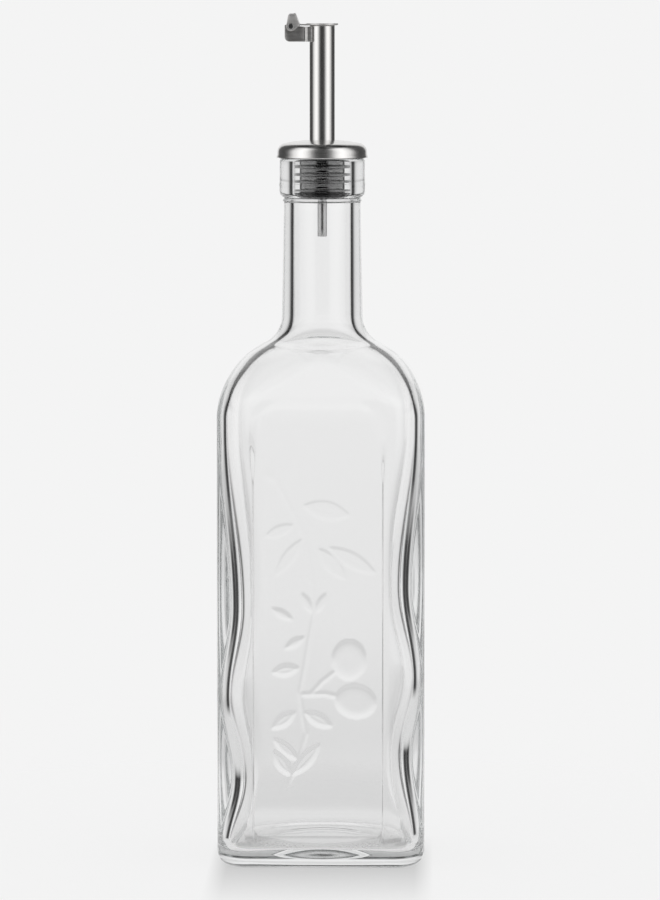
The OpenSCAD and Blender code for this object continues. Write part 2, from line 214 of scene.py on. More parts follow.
def polar(theta, a, r):
    """Radius of a rounded square of half width a and corner radius r, towards angle theta."""
    w = np.abs((theta + math.pi / 4) % (math.pi / 2) - math.pi / 4)
    c = np.maximum(a - r, 0)
    flat = a / np.cos(w)
    along = c * (np.cos(w) + np.sin(w))
    corner = along + np.sqrt(np.maximum(along**2 - 2 * c**2 + r**2, 0))
    return np.where(a * np.tan(w) <= c, flat, corner)


def columns():
    """Angles of the mesh's columns: even steps along each side, closest on the front, and extra ones at
    the front panel's edges."""
    flat = HALF_W - CORNER_R
    angles = []
    for side, steps in ((-90, 112), (0, 40), (90, 24), (180, 40)):
        across = [-flat + 2 * flat * j / steps for j in range(steps)]
        if side == -90:
            edges = [PANEL_X - PANEL_HALF, PANEL_X + PANEL_HALF]
            across = [x for x in across if min(abs(x - e) for e in edges) > 0.5 * MM]
            across += [e + d * MM for e in edges for d in (-0.4, -0.14, -0.05, 0.05, 0.14, 0.4)]
        for x in sorted(across):
            angles.append(math.radians(side) + math.atan2(x, HALF_W))
        for j in range(12):
            w = math.radians(90 * j / 12)
            x, y = flat + CORNER_R * math.cos(w), flat + CORNER_R * math.sin(w)
            angles.append(math.radians(side) + math.atan2(y, x))
    return np.array(angles)


def meeting(x, reach):
    """Angle at which the shoulder's arc meets the neck's fillet, whose centre is at half width x and at
    the given reach from the arc's centre, and the height of that centre."""
    meet = math.acos((x - (HALF_W - SHOULDER_R)) / reach)
    return meet, SHOULDER_Z + reach * math.sin(meet)


def outer_rows():
    """Rows of the outside as (half width, corner radius, height), from the middle of the base to the
    mouth."""
    sphere = (PUSHUP_R**2 + PUSHUP_H**2) / (2 * PUSHUP_H)
    rows = []
    for r in np.linspace(0.02, 0.97, 16) * PUSHUP_R:
        rows.append((r, r, PUSHUP_H - sphere + math.sqrt(sphere**2 - r * r)))
    foot, foot_r = HALF_W - HEEL_R, CORNER_R - HEEL_R
    for t in (0, 0.3, 0.65, 1):
        a, r = PUSHUP_R + (foot - PUSHUP_R) * t, PUSHUP_R + (foot_r - PUSHUP_R) * t
        rows.append((a, r, 0.02 * MM * (1 - t)))
    for w in np.radians(np.linspace(9, 90, 10)):
        out = HEEL_R * math.sin(w)
        rows.append((foot + out, foot_r + out, HEEL_R * (1 - math.cos(w))))
    heights = [*np.arange(6.5, 18, 1.15), *np.arange(18.4, 124.6, 0.52), *np.arange(125.7, 142, 1.25)]
    rows += [(HALF_W, CORNER_R, z * MM) for z in heights]
    cx, fx = HALF_W - SHOULDER_R, NECK_R + FILLET_R
    meet, fz = meeting(fx, SHOULDER_R + FILLET_R)
    for t in np.linspace(0, 1, 25):
        w = meet * t
        a = cx + SHOULDER_R * math.cos(w)
        flat = CORNER_R / HALF_W
        s = float(smooth(0, 1, np.array(t)))
        rows.append((a, a * (flat + (1 - flat) * s), SHOULDER_Z + SHOULDER_R * math.sin(w)))
    for x, z in arc(fx, fz, FILLET_R, 180 + math.degrees(meet), 180, 10)[1:]:
        rows.append((x, x, z))
    ring_z = GLASS_H - FINISH_H
    for t in np.linspace(0, 1, 12)[1:]:
        r = NECK_R + (NECK_TOP_R - NECK_R) * t
        rows.append((r, r, fz + (ring_z - 1.4 * MM - fz) * t))
    bead = arc(NECK_TOP_R - 0.1 * MM, ring_z - 0.75 * MM, BEAD_R, -72, 72, 8)
    under = [(NECK_TOP_R + 0.02 * MM, ring_z - 0.1 * MM), (NECK_TOP_R + 0.06 * MM, ring_z + 0.2 * MM)]
    side = arc(FINISH_R - CHAMFER_H, ring_z + CHAMFER_H, CHAMFER_H, -66, 0, 12)
    seam = GLASS_H - SEAM_DROP
    ridge = [(FINISH_R, seam - 0.5 * MM), (FINISH_R + SEAM_H, seam - 0.12 * MM),
             (FINISH_R + SEAM_H, seam + 0.12 * MM), (FINISH_R - 0.04 * MM, seam + 0.5 * MM)]
    wall = [(FINISH_R - 0.05 * MM, seam + d * MM) for d in (2, 4, 6)]
    lip = arc(FINISH_R - MOUTH_R - 0.05 * MM, GLASS_H - MOUTH_R, MOUTH_R, 0, 90, 8)
    for x, z in [*bead, *under, *side, *ridge, *wall, *lip]:
        rows.append((x, x, z))
    return rows


def inner_rows():
    """Rows of the inside as (half width, corner radius, height), from the mouth down to the middle of the
    floor. The floor's own rows have no height yet, which the mark -1 says."""
    rows = [(x, x, z) for x, z in arc(BORE_R + MOUTH_R, GLASS_H - MOUTH_R, MOUTH_R, 90, 180, 8)]
    cx, fx = HALF_W - SHOULDER_R, NECK_R + FILLET_R
    arc_r, fillet_r = SHOULDER_R - WALL, fx - BORE_R
    meet, fz = meeting(fx, arc_r + fillet_r)
    for z in np.linspace(GLASS_H - 4 * MM, fz, 9):
        rows.append((BORE_R, BORE_R, z))
    for x, z in arc(fx, fz, fillet_r, 180, 180 + math.degrees(meet), 12)[1:]:
        rows.append((x, x, z))
    for t in np.linspace(1, 0, 21)[1:]:
        w = meet * t
        a = cx + arc_r * math.cos(w)
        flat = (CORNER_R - WALL) / (HALF_W - WALL)
        s = float(smooth(0, 1, np.array(t)))
        rows.append((a, a * (flat + (1 - flat) * s), SHOULDER_Z + arc_r * math.sin(w)))
    side, side_r = HALF_W - WALL - WALL_SWELL, CORNER_R - WALL - WALL_SWELL
    for z in np.linspace(SHOULDER_Z, FLOOR_EDGE + FLOOR_HEEL, 76)[1:]:
        low = WALL_SWELL * float(1 - smooth(0, 30 * MM, np.array(z)))
        rows.append((HALF_W - WALL - low, CORNER_R - WALL - low, z))
    for w in np.radians(np.linspace(80, 8, 9)):
        cut = FLOOR_HEEL * (1 - math.sin(w))
        z = FLOOR_EDGE + FLOOR_HEEL * (1 - math.cos(w))
        rows.append((side - cut, max(side_r - cut, FLOOR_CORNER), z))
    foot = side - FLOOR_HEEL
    for t in np.linspace(0, 0.97, 18):
        a = foot * (1 - t)
        r = FLOOR_CORNER + (a - FLOOR_CORNER) * float(smooth(0, 0.5, np.array(t)))
        rows.append((a, min(r, a), -1))
    return rows


def bottle_mesh():
    """One closed mesh: outside, mouth and inside, with the waves, the sunk panel and the relief in its
    vertices."""
    theta = columns()
    n = len(theta)
    outer, inner = outer_rows(), inner_rows()
    rows = np.array([*outer, *inner])
    rho = polar(theta[None, :], rows[:, 0:1], rows[:, 1:2])
    x = rho * np.cos(theta)
    y = rho * np.sin(theta)
    z = np.repeat(rows[:, 2:3], n, axis=1)
    inside = np.arange(len(rows))[:, None] >= len(outer)
    dome = PUSHUP_H + BASE_T - FLOOR_R + np.sqrt(FLOOR_R**2 - x**2 - y**2)
    blended = (z + dome + np.hypot(z - dome, FLOOR_BLEND)) / 2
    z = np.where(z < 0, dome, np.where(inside & (z < FLOOR_TOP), blended, z))
    depth = np.where(x > 0, wave(RIGHT_WAVE, z), wave(LEFT_WAVE, z))
    side = smooth(0.55 * HALF_W, 0.75 * HALF_W, np.abs(x))
    across = (1 - smooth(PANEL_HALF - 2.2 * MM, PANEL_HALF + 1.2 * MM, np.abs(y))) * side
    across = np.where(inside, np.abs(x) / (HALF_W - WALL), across)
    x = x - np.sign(x) * depth * across
    front = (y < -0.75 * HALF_W) & ~inside
    sunk = panel(x, z) * (PANEL_DEPTH - sprig(x, z))
    y = np.where(front, np.maximum(y, sunk - HALF_W), y)
    ripple = RIPPLE * np.sin(z / (17 * MM) + 2 * np.sin(2 * theta)) * np.sin(3 * theta + z / (31 * MM))
    body = smooth(12 * MM, 30 * MM, z) * (1 - smooth(150 * MM, 200 * MM, z))
    shrink = np.where(inside, ripple * body, 0) / np.maximum(np.hypot(x, y), MM)
    x, y = x * (1 - shrink), y * (1 - shrink)
    points = np.stack([x, y, z], axis=2).reshape(-1, 3)
    ends = [(0, 0, PUSHUP_H), (0, 0, PUSHUP_H + BASE_T)]
    a = np.arange(len(rows) - 1)[:, None] * n + np.arange(n)[None, :]
    b = np.arange(len(rows) - 1)[:, None] * n + (np.arange(n)[None, :] + 1) % n
    quads = np.stack([a, b, b + n, a + n], axis=2).reshape(-1, 4)
    faces = [tuple(q) for q in quads.tolist()]
    first, last = len(points), len(points) + 1
    top = (len(rows) - 1) * n
    faces += [(first, (i + 1) % n, i) for i in range(n)]
    faces += [(last, top + i, top + (i + 1) % n) for i in range(n)]
    mesh = bpy.data.meshes.new("bottle_glass")
    mesh.from_pydata([*map(tuple, points.tolist()), *ends], [], faces)
    mesh.update()
    return mesh


# ---------------------------------------------------------------- mesh helpers
def shown(name, mesh, body, node, material):
    """Puts a finished mesh in the scene as a piece that stands for one CAD node."""
    piece = bpy.data.objects.new(name, mesh)
    bpy.context.scene.collection.objects.link(piece)
    mesh.materials.clear()
    mesh.materials.append(material)
    for p in mesh.polygons:
        p.use_smooth = True
    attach(piece, body)
    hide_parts(node)


def revolve(name, loop, segments=128):
    """Mesh of a closed profile loop of (radius, height) points turned about Z."""
    loop = np.asarray(loop, float)
    w = np.linspace(0, 2 * math.pi, segments, endpoint=False)
    points = np.stack(
        [loop[None, :, 0] * np.cos(w)[:, None], loop[None, :, 0] * np.sin(w)[:, None],
         np.repeat(loop[None, :, 1], segments, axis=0)], axis=2).reshape(-1, 3)
    m = len(loop)
    faces = []
    for i in range(segments):
        for j in range(m):
            a, b = i * m + j, i * m + (j + 1) % m
            c, d = ((i + 1) % segments) * m + (j + 1) % m, ((i + 1) % segments) * m + j
            faces.append((a, d, c, b))
    mesh = bpy.data.meshes.new(name)
    mesh.from_pydata([tuple(p) for p in points.tolist()], [], faces)
    mesh.update()
    bm = bmesh.new()
    bm.from_mesh(mesh)
    bmesh.ops.recalc_face_normals(bm, faces=bm.faces)
    bm.to_mesh(mesh)
    bm.free()
    return mesh


def round_loop(points, radius, steps=4):
    """A closed loop with each corner replaced by a small arc-like curve."""
    out = []
    m = len(points)
    for i in range(m):
        p0, p1, p2 = (Vector(points[(i + k) % m]) for k in (-1, 0, 1))
        a, b = p0 - p1, p2 - p1
        r = min(radius, a.length * 0.45, b.length * 0.45)
        a, b = p1 + a.normalized() * r, p1 + b.normalized() * r
        for t in np.linspace(0, 1, steps + 1):
            out.append((a * (1 - t) ** 2 + p1 * 2 * t * (1 - t) + b * t * t)[:])
    return out


def plate(bm, outline, hole, thickness, place):
    """Adds a flat plate to bm: a closed outline, with a hole of the same point count or with none."""
    front, back = [], []
    for x, z in outline:
        front.append(bm.verts.new(place(x, -thickness / 2, z)))
        back.append(bm.verts.new(place(x, thickness / 2, z)))
    n = len(outline)
    for i in range(n):
        j = (i + 1) % n
        bm.faces.new((front[i], front[j], back[j], back[i]))
    if hole is None:
        bm.faces.new(front[::-1])
        bm.faces.new(back)
        return
    hf = [bm.verts.new(place(x, -thickness / 2, z)) for x, z in hole]
    hb = [bm.verts.new(place(x, thickness / 2, z)) for x, z in hole]
    for i in range(n):
        j = (i + 1) % n
        bm.faces.new((hf[j], hf[i], hb[i], hb[j]))
        bm.faces.new((front[j], front[i], hf[i], hf[j]))
        bm.faces.new((back[i], back[j], hb[j], hb[i]))


def finish_mesh(bm, name, bevel=0.0, segments=2):
    """Turns bm into a mesh with outward normals and softly rounded sharp edges."""
    bmesh.ops.remove_doubles(bm, verts=bm.verts, dist=1e-7)
    bmesh.ops.recalc_face_normals(bm, faces=bm.faces)
    if bevel:
        sharp = [e for e in bm.edges if len(e.link_faces) == 2 and e.calc_face_angle(0) > math.radians(35)]
        bmesh.ops.bevel(bm, geom=sharp, offset=bevel, segments=segments, profile=0.5,
                        affect="EDGES", clamp_overlap=True)
    mesh = bpy.data.meshes.new(name)
    bm.to_mesh(mesh)
    bm.free()
    return mesh


# ---------------------------------------------------------------- materials
def material(name):
    m = bpy.data.materials.new(name)
    m.use_nodes = True
    nt = m.node_tree
    return m, nt, nt.nodes["Principled BSDF"]


def add(nt, kind, **values):
    node = nt.nodes.new(kind)
    for key, value in values.items():
        if hasattr(node, key):
            setattr(node, key, value)
        else:
            node.inputs[key.replace("_", " ")].default_value = value
    return node


def stretched_noise(nt, scale, detail, roughness=0.5):
    """Noise on the object's own coordinates, squeezed or stretched along each axis."""
    where = add(nt, "ShaderNodeTexCoord")
    mapping = add(nt, "ShaderNodeMapping")
    mapping.inputs["Scale"].default_value = scale
    noise = add(nt, "ShaderNodeTexNoise", Scale=1.0, Detail=detail, Roughness=roughness)
    nt.links.new(where.outputs["Object"], mapping.inputs["Vector"])
    nt.links.new(mapping.outputs["Vector"], noise.inputs["Vector"])
    return noise


def ranged(nt, socket, low, high, to_low, to_high):
    node = add(nt, "ShaderNodeMapRange")
    node.inputs["From Min"].default_value = low
    node.inputs["From Max"].default_value = high
    node.inputs["To Min"].default_value = to_low
    node.inputs["To Max"].default_value = to_high
    nt.links.new(socket, node.inputs["Value"])
    return node.outputs["Result"]


def ramp(nt, socket, stops):
    node = add(nt, "ShaderNodeValToRGB")
    node.color_ramp.interpolation = "EASE"
    elements = node.color_ramp.elements
    while len(elements) > 1:
        elements.remove(elements[-1])
    elements[0].position = stops[0][0]
    elements[0].color = (*[stops[0][1]] * 3, 1)
    for at, value in stops[1:]:
        e = elements.new(at)
        e.color = (*[value] * 3, 1)
    nt.links.new(socket, node.inputs["Fac"])
    return node.outputs["Color"]


def math_node(nt, operation, *values):
    node = add(nt, "ShaderNodeMath", operation=operation)
    for i, v in enumerate(values):
        if isinstance(v, (int, float)):
            node.inputs[i].default_value = v
        else:
            nt.links.new(v, node.inputs[i])
    return node.outputs[0]


def mixed(nt, factor, a, b, blend="MIX"):
    """Colour mixed from a and b, where each of factor, a and b is a socket or a value."""
    node = add(nt, "ShaderNodeMix", data_type="RGBA", blend_type=blend)
    for name, value in (("Factor", factor), ("A", a), ("B", b)):
        if isinstance(value, bpy.types.NodeSocket):
            nt.links.new(value, node.inputs[name])
        else:
            node.inputs[name].default_value = value
    return node.outputs["Result"]


def glass_material():
    """Clear moulded glass: a faint grey absorption, the slight waviness of a mould's surface, mirror light
    that is weaker than real glass has head on, and a rough, stippled foot ring."""
    m, nt, bsdf = material("clear_glass")
    bsdf.inputs["Base Color"].default_value = (1, 1, 1, 1)
    bsdf.inputs["Transmission Weight"].default_value = 1
    bsdf.inputs["IOR"].default_value = 1.5
    bsdf.inputs["Specular Tint"].default_value = (0.4, 0.4, 0.4, 1)
    where = add(nt, "ShaderNodeTexCoord")
    split = add(nt, "ShaderNodeSeparateXYZ")
    nt.links.new(where.outputs["Object"], split.inputs[0])
    foot = ranged(nt, split.outputs["Z"], 0.00005, 0.0003, 1, 0)
    nt.links.new(math_node(nt, "MULTIPLY", foot, 0.45), bsdf.inputs["Roughness"])
    waves = stretched_noise(nt, (70, 70, 45), 2)
    dots = stretched_noise(nt, (1400, 1400, 1400), 1)
    stipple = math_node(nt, "MULTIPLY", dots.outputs["Fac"], foot)
    height = math_node(nt, "MULTIPLY_ADD", stipple, 4, waves.outputs["Fac"])
    bump = add(nt, "ShaderNodeBump", Strength=0.25, Distance=0.00008)
    nt.links.new(height, bump.inputs["Height"])
    nt.links.new(bump.outputs["Normal"], bsdf.inputs["Normal"])
    absorb = add(nt, "ShaderNodeVolumeAbsorption")
    absorb.inputs["Color"].default_value = (0.865, 0.875, 0.875, 1)
    absorb.inputs["Density"].default_value = 9
    nt.links.new(absorb.outputs["Volume"], nt.nodes["Material Output"].inputs["Volume"])
    return m


def steel_material(name, colour, roughness, scale, grain):
    """Satin stainless steel: fine brush lines in its roughness, its bump and, faintly, its colour."""
    m, nt, bsdf = material(name)
    bsdf.inputs["Metallic"].default_value = 1
    lines = stretched_noise(nt, scale, 6, 0.62)
    cloud = stretched_noise(nt, (160, 160, 160), 3)
    dark = (*[c * 0.88 for c in colour], 1)
    bright = (*[min(c * 1.08, 1) for c in colour], 1)
    nt.links.new(mixed(nt, lines.outputs["Fac"], dark, bright), bsdf.inputs["Base Color"])
    both = math_node(nt, "MULTIPLY_ADD", cloud.outputs["Fac"], 0.35, lines.outputs["Fac"])
    rough = ranged(nt, both, 0.45, 0.95, roughness * 0.8, roughness * 1.3)
    nt.links.new(rough, bsdf.inputs["Roughness"])
    bump = add(nt, "ShaderNodeBump", Strength=grain, Distance=0.00002)
    nt.links.new(lines.outputs["Fac"], bump.inputs["Height"])
    nt.links.new(bump.outputs["Normal"], bsdf.inputs["Normal"])
    return m


def rubber_material():
    """Dark elastomer with a moulded, slightly uneven gloss."""
    m, nt, bsdf = material("dark_rubber")
    fine = stretched_noise(nt, (900, 900, 900), 3)
    broad = stretched_noise(nt, (120, 120, 260), 2)
    colour = mixed(nt, broad.outputs["Fac"], (0.004, 0.004, 0.0045, 1), (0.009, 0.009, 0.01, 1))
    nt.links.new(colour, bsdf.inputs["Base Color"])
    nt.links.new(ranged(nt, broad.outputs["Fac"], 0.3, 0.7, 0.07, 0.12), bsdf.inputs["Roughness"])
    bsdf.inputs["IOR"].default_value = 2.3
    bsdf.inputs["Coat Weight"].default_value = 0.6
    bsdf.inputs["Coat IOR"].default_value = 1.8
    bsdf.inputs["Coat Roughness"].default_value = 0.06
    bump = add(nt, "ShaderNodeBump", Strength=0.2, Distance=0.00002)
    nt.links.new(fine.outputs["Fac"], bump.inputs["Height"])
    nt.links.new(bump.outputs["Normal"], bsdf.inputs["Normal"])
    return m


GLASS = glass_material()
TUBE_STEEL = steel_material("brushed_tube", (0.72, 0.71, 0.7), 0.15, (2600, 2600, 60), 0.3)
CAP_STEEL = steel_material("brushed_cap", (0.76, 0.75, 0.74), 0.2, (240, 240, 5200), 0.3)
SHEET_STEEL = steel_material("sheet_steel", (0.62, 0.61, 0.6), 0.34, (60, 2400, 2400), 0.35)
# The lid's steel is a lighter, rougher copy of the sheet steel: painted light, so that the lid's ears show
# lighter than the bracket
LID_STEEL_PAINTED_LIGHT = steel_material("lid_steel_painted_light", (0.72, 0.71, 0.7), 0.5, (60, 2400, 2400), 0.35)
VENT_STEEL = steel_material("vent_steel", (0.62, 0.62, 0.62), 0.32, (3000, 3000, 90), 0.3)
PIN_STEEL = steel_material("pin_steel", (0.5, 0.5, 0.5), 0.15, (800, 800, 800), 0.15)
RUBBER = rubber_material()


# ---------------------------------------------------------------- pieces
def make_bottle():
    shown("bottle_glass", bottle_mesh(), "glass", "bottle", GLASS)


def make_cap():
    """Stamped dome with a rounded edge and a slightly flared rim."""
    z0, z1 = CAP_LO.z, CAP_HI.z
    t = 0.5 * MM
    edge, crown = 2.9 * MM, 0.9 * MM
    x, z = CAP_R - 0.25 * MM - edge, z1 - crown - edge
    rim = [(CAP_R - t, z0), (CAP_R - 0.04 * MM, z0), (CAP_R, z0 + 0.25 * MM),
           (CAP_R - 0.22 * MM, z0 + 0.9 * MM)]
    out = arc(x, z, edge, 0, 72, 14).tolist()
    dome = [(SPOUT_R + (x - SPOUT_R) * u, z1 - crown * u * u) for u in np.linspace(0.95, 0, 12)]
    under = [(SPOUT_R + (x - SPOUT_R) * u, z1 - t - crown * u * u) for u in (0, 0.3, 0.6, 0.93)]
    inside = arc(x, z, edge - t, 72, 0, 8).tolist()
    loop = [*rim, *out, *dome, *under, *inside, (CAP_R - 0.25 * MM - t, z0 + 0.9 * MM)]
    shown("steel_cap", revolve("steel_cap", loop, 160), "pourer", "cap", CAP_STEEL)


def tube_loop(z0, z1, r, t, edge):
    """Profile of a tube with softly rounded ends and enough rings for its length."""
    heights = np.linspace(z0, z1, 24)
    out = [(r, z) for z in heights[1:-1]]
    inside = [(r - t, z) for z in heights[-2:0:-1]]
    top = [(r, z1 - edge), (r - edge * 0.3, z1 - edge * 0.3), (r - edge, z1), (r - t + edge, z1),
           (r - t + edge * 0.3, z1 - edge * 0.3), (r - t, z1 - edge)]
    low = [(r - t, z0 + edge), (r - t + edge * 0.3, z0 + edge * 0.3), (r - t + edge, z0), (r - edge, z0),
           (r - edge * 0.3, z0 + edge * 0.3), (r, z0 + edge)]
    return [*out, *top, *inside, *low]


def make_tubes():
    spout = revolve("pouring_tube", tube_loop(SPOUT_LO.z, SPOUT_HI.z, SPOUT_R, 0.4 * MM, 0.12 * MM), 128)
    shown("pouring_tube", spout, "pourer", "spout_tube", TUBE_STEEL)
    vent = revolve("vent_tube", tube_loop(AIR_LO.z, AIR_HI.z, AIR_R, 0.3 * MM, 0.08 * MM), 72)
    shown("vent_tube", vent, "pourer", "air_tube", VENT_STEEL)


def turned(w):
    """Placing function of an upright plate that is turned by angle w about Z."""
    return lambda x, y, z: Vector((x * math.cos(w) - y * math.sin(w), x * math.sin(w) + y * math.cos(w), z))


def beside(middle):
    """Placing function of an upright plate whose middle plane is at the given y."""
    return lambda x, y, z: Vector((x, middle + y, z))


def make_stopper():
    """Ribbed plug: thin fins with rounded edges on a core, a flange above, and a three-spoked web below."""
    top, low, core = GLASS_H, PLUG_LO.z, 7.3 * MM
    rib_r, rib_t, first, ribs = BORE_R - 0.05 * MM, 0.8 * MM, 2.2 * MM, 5
    pitch = (top - low - first - rib_t) / (ribs - 1)
    flange = PLUG_HI.x
    fins = []
    for i in range(ribs):
        z = top - first - i * pitch
        fins += [(core, z + 0.12 * MM), (core + 0.12 * MM, z), (rib_r - 0.08 * MM, z - 0.03 * MM),
                 (rib_r, z - 0.12 * MM), (rib_r, z - rib_t + 0.12 * MM), (rib_r - 0.08 * MM, z - rib_t),
                 (core + 0.12 * MM, z - rib_t - 0.05 * MM), (core, z - rib_t - 0.17 * MM)]
    fins = [(r, max(z, low)) for r, z in fins]
    loop = [(SPOUT_R, PLUG_HI.z), (flange - 1.2 * MM, PLUG_HI.z), (flange, PLUG_HI.z - 1.2 * MM),
            (flange, top + 0.15 * MM), (flange - 0.15 * MM, top), (core + 0.3 * MM, top), *fins,
            (core - 0.3 * MM, low), (SPOUT_R - 0.4 * MM, low), (SPOUT_R - 0.4 * MM, SPOUT_LO.z),
            (SPOUT_R, SPOUT_LO.z)]
    mesh = revolve("ribbed_stopper", loop, 128)
    bm = bmesh.new()
    bm.from_mesh(mesh)
    hub, hub_top = AIR_R + 1 * MM, SPOUT_LO.z - 0.02 * MM
    r0, r1 = hub - 0.2 * MM, SPOUT_R - 0.2 * MM
    z0, z1 = low + 0.1 * MM, SPOUT_LO.z - 0.05 * MM
    for i in range(3):
        spoke = turned(math.radians(120 * i + 30))
        plate(bm, [(r0, z0), (r1, z0), (r1, z1), (r0, z1)], None, 1.2 * MM, spoke)
    corners = [(AIR_R, low), (hub, low), (hub, hub_top), (AIR_R, hub_top)]
    ring = revolve("hub", round_loop(corners, 0.15 * MM), 64)
    bm.from_mesh(ring)
    bpy.data.meshes.remove(ring)
    bm.to_mesh(mesh)
    bm.free()
    shown("ribbed_stopper", mesh, "pourer", "stopper", RUBBER)


def circle_points(x, z, r, n):
    turns = [2 * math.pi * i / n for i in range(n)]
    return [(x + r * math.cos(w), z + r * math.sin(w)) for w in turns]


def resample(outline, n, x, z):
    """n points along a closed outline, at even angles round (x, z), from where all of it can be seen."""
    parallel, slack = 1e-15, 1e-9
    out = []
    m = len(outline)
    for w in [2 * math.pi * i / n for i in range(n)]:
        d = (math.cos(w), math.sin(w))
        best = None
        for i in range(m):
            (ax, az), (bx, bz) = outline[i], outline[(i + 1) % m]
            ex, ez = bx - ax, bz - az
            det = d[0] * -ez + d[1] * ex
            if abs(det) < parallel:
                continue
            t = ((ax - x) * -ez + (az - z) * ex) / det
            s = (d[0] * (az - z) - d[1] * (ax - x)) / det
            if t > 0 and -slack <= s <= 1 + slack and (best is None or t > best):
                best = t
        out.append((x + d[0] * best, z + d[1] * best))
    return out


def sweep_strip(bm, sections):
    """Adds a closed solid through four-cornered sections, each a list of four points."""
    rings = [[bm.verts.new(point) for point in section] for section in sections]
    for a, b in zip(rings, rings[1:]):
        for i in range(4):
            bm.faces.new((a[i], a[(i + 1) % 4], b[(i + 1) % 4], b[i]))
    bm.faces.new(rings[0])
    bm.faces.new(rings[-1][::-1])


PIN_R = 0.6 * MM
RING_POINTS = 72


def make_bracket():
    """Folded bracket: two cheeks that step outward beside the spout, and a saddle that wraps it."""
    t, y, step = 0.5 * MM, 2.75 * MM, 0.5 * MM
    x0, z0, z1 = BRACKET_LO.x, BRACKET_LO.z, PIN_Z - 0.1 * MM
    corner_r, lobe = 1.6 * MM, 1.5 * MM
    fold = [(-5.7, 0), (-5.35, 0), (-5.15, 0.12), (-4.95, 0.38), (-4.75, 0.5), (-4.4, 0.5), (-3.2, 0.5)]
    corner = arc(x0 + corner_r, z0 + corner_r, corner_r, 180, 270, 8).tolist()
    head = arc(PIN_X, PIN_Z, lobe, 5, 150, 12).tolist()
    right = fold[1][0] * MM
    outline = [(x0, PIN_Z - 0.6 * MM), *corner, (right, z0), (right, z1), *head, (x0, PIN_Z + 0.3 * MM)]
    whole = resample(outline, RING_POINTS, PIN_X, PIN_Z - 0.4 * MM)
    hole = resample(circle_points(PIN_X, PIN_Z, PIN_R, 48), RING_POINTS, PIN_X, PIN_Z - 0.1 * MM)
    bm = bmesh.new()
    for s in (-1, 1):
        plate(bm, whole, hole, t, beside(s * y))
        strip = []
        for x, out in fold:
            near, far = s * (y - t / 2 + out * MM), s * (y + t / 2 + out * MM)
            strip.append([(x * MM, near, z0), (x * MM, far, z0), (x * MM, far, z1), (x * MM, near, z1)])
        sweep_strip(bm, strip)
    saddle = []
    near, far = SPOUT_R + 0.01 * MM, SPOUT_R + t
    for w in np.radians(np.linspace(136, 224, 25)):
        c, d = math.cos(w), math.sin(w)
        saddle.append([(c * near, d * near, z0), (c * far, d * far, z0),
                       (c * far, d * far, z1), (c * near, d * near, z1)])
    sweep_strip(bm, saddle)
    mesh = finish_mesh(bm, "hinge_bracket_sheet", 0.08 * MM)
    shown("hinge_bracket_sheet", mesh, "pourer", "hinge_bracket", SHEET_STEEL)


def make_pin():
    """Rivet with a flat head at each end."""
    y0, y1 = PIN_LO.y, PIN_HI.y
    head, t, edge, centre = 0.95 * MM, 0.35 * MM, 0.2 * MM, 0.0001 * MM
    quarter = np.linspace(0, math.pi / 2, 6)
    near = [(head - edge + edge * math.sin(w), y0 + edge * (1 - math.cos(w))) for w in quarter]
    far = [(x, y0 + y1 - y) for x, y in near[::-1]]
    axle = [(head, y0 + t), (PIN_R, y0 + t), (PIN_R, y1 - t), (head, y1 - t)]
    loop = [(centre, y0), *near, *axle, *far, (centre, y1)]
    mesh = revolve("rivet", loop, 48)
    for v in mesh.vertices:
        x, y, z = v.co
        v.co = (PIN_X + x, z, PIN_Z - y)
    mesh.flip_normals()
    bm = bmesh.new()
    bm.from_mesh(mesh)
    bmesh.ops.remove_doubles(bm, verts=bm.verts, dist=1e-6)
    bmesh.ops.recalc_face_normals(bm, faces=bm.faces)
    bm.to_mesh(mesh)
    bm.free()
    shown("rivet", mesh, "pourer", "hinge_pin", PIN_STEEL)


